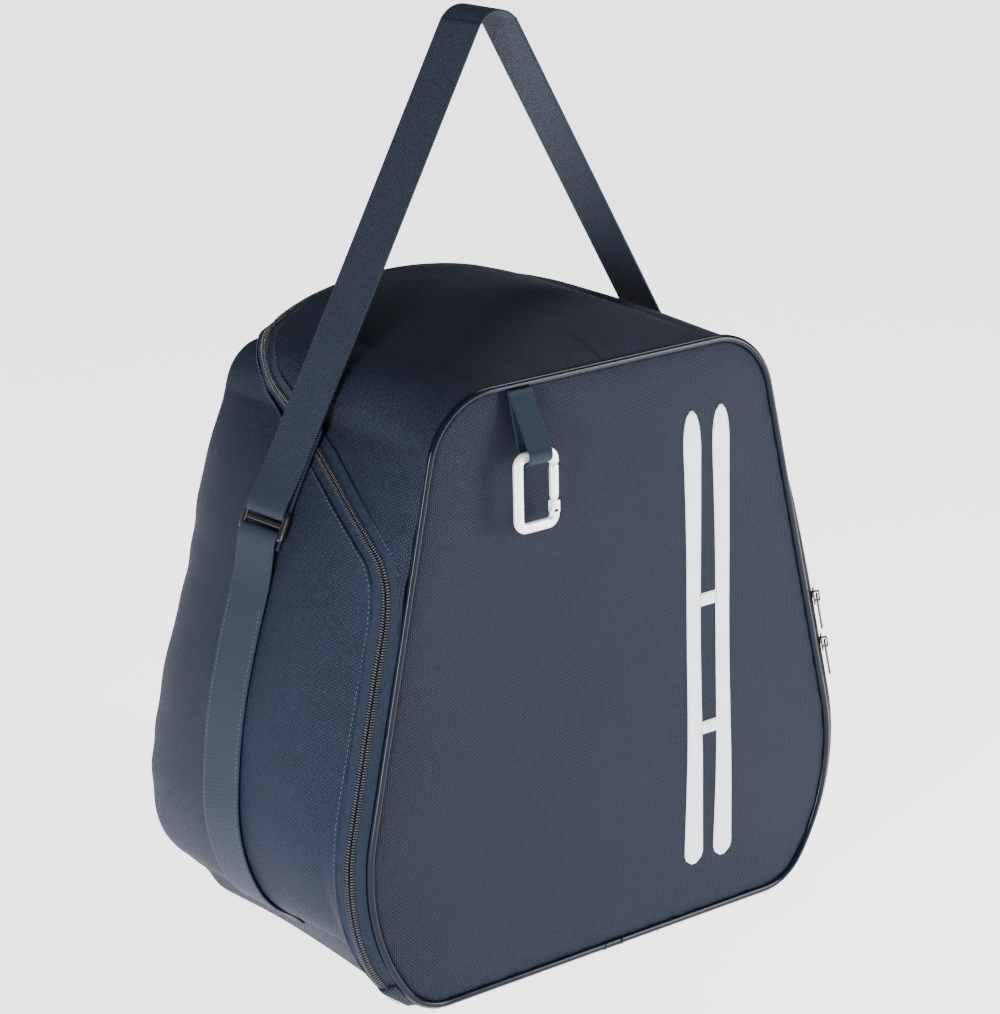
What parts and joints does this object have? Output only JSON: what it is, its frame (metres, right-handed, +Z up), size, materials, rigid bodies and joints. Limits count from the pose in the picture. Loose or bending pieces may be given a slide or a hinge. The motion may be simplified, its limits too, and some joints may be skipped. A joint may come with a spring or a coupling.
{
  "type": "ski boot bag",
  "caption": "Soft panelled boot bag with flared base, zipped fold-down front, piped front edge, webbing shoulder strap with slide buckle, and a carabiner on a hanging loop",
  "frame": {"origin": "on the floor under the middle of the bag", "axes": "+Z up, the front panel faces -Y, +X across the width to the right of the front panel's viewer"},
  "size_m": [0.4571, 0.2634, 0.6181],
  "materials": {
    "bag_fabric": "dark navy woven polyester, fine weave, slight sheen",
    "web_fabric": "navy twill webbing",
    "zip_tape": "blue woven zip tape",
    "zip_coil": "dark nylon coil",
    "piping": "glossy PVC piping",
    "buckle": "black moulded plastic",
    "clip_metal": "pale satin metal",
    "slider_metal": "black lacquered die casting",
    "print": "white screen print",
    "board": "black plastic sheet stiffener",
    "binding": "black bias binding"
  },
  "bodies": {
    "bag_body": {"bottom_panel": "bag_fabric", "rear_top_panel": "bag_fabric", "side_panel_left": "bag_fabric", "side_panel_right": "bag_fabric", "back_panel": "bag_fabric", "base_board": "board", "binding_back": "binding", "zip_tape_body": "zip_tape", "zip_coil_body": "zip_coil", "zip_end_left": "bag_fabric", "zip_end_right": "bag_fabric", "side_webbing_left": "web_fabric", "side_webbing_right": "web_fabric", "strap_slider": "buckle", "strap_leg_left": "web_fabric", "strap_leg_right": "web_fabric", "strap_root_left": "web_fabric", "strap_root_right": "web_fabric"},
    "front_flap": {"front_panel": "bag_fabric", "top_panel": "bag_fabric", "front_piping": "piping", "piping_joint": "piping", "binding_front": "binding", "front_print": "print", "zip_tape_flap": "zip_tape", "zip_coil_flap": "zip_coil"},
    "strap": {"strap_loop": "web_fabric"},
    "hanger": {"hanger_loop": "web_fabric"},
    "carabiner": {"carabiner_body": "clip_metal", "carabiner_pin": "clip_metal"},
    "gate": {"carabiner_gate": "clip_metal"},
    "slider_a": {"zip_slider_a": "slider_metal"},
    "slider_b": {"zip_slider_b": "slider_metal"},
    "pull_a": {"zip_pull_a": "slider_metal"},
    "pull_b": {"zip_pull_b": "slider_metal"}
  },
  "joints": [
    {"name": "flap_hinge", "type": "hinge", "parent": "bag_body", "child": "front_flap", "pos_m": [0, -0.12, 0.0032], "axis": [1, 0, 0], "range_deg": [0, 80]},
    {"name": "strap_swing", "type": "hinge", "parent": "bag_body", "child": "strap", "pos_m": [0, 0, 0.476], "axis": [1, 0, 0], "range_deg": [-45, 30], "deforming": ["strap_root_left", "strap_root_right"]},
    {"name": "hanger_swing", "type": "hinge", "parent": "front_flap", "child": "hanger", "pos_m": [-0.0725, -0.12385, 0.395], "axis": [-1, 0, 0], "range_deg": [0, 70]},
    {"name": "carabiner_swing", "type": "hinge", "parent": "hanger", "child": "carabiner", "pos_m": [-0.0725, -0.137, 0.36], "axis": [-1, 0, 0], "range_deg": [-4, 80]},
    {"name": "gate_hinge", "type": "hinge", "parent": "carabiner", "child": "gate", "pos_m": [-0.058, -0.137, 0.3245], "axis": [0, -1, 0], "range_deg": [0, 22], "stiffness_Nm_per_rad": 0.02, "springref_deg": -20.05},
    {"name": "slider_a_slide", "type": "slide", "parent": "front_flap", "child": "slider_a", "axis": [-0.2192, 0, 0.9757], "range_m": [-0.034, 0]},
    {"name": "slider_b_slide", "type": "slide", "parent": "front_flap", "child": "slider_b", "axis": [-0.2197, 0, 0.9756], "range_m": [0, 0.022]},
    {"name": "pull_a_hinge", "type": "hinge", "parent": "slider_a", "child": "pull_a", "pos_m": [0.20138, -0.11547, 0.1683], "axis": [-0.6823, -0.7149, -0.1533], "range_deg": [0, 150]},
    {"name": "pull_b_hinge", "type": "hinge", "parent": "slider_b", "child": "pull_b", "pos_m": [0.19347, -0.11549, 0.20342], "axis": [-0.6866, -0.7104, -0.1546], "range_deg": [0, 150]}
  ]
}
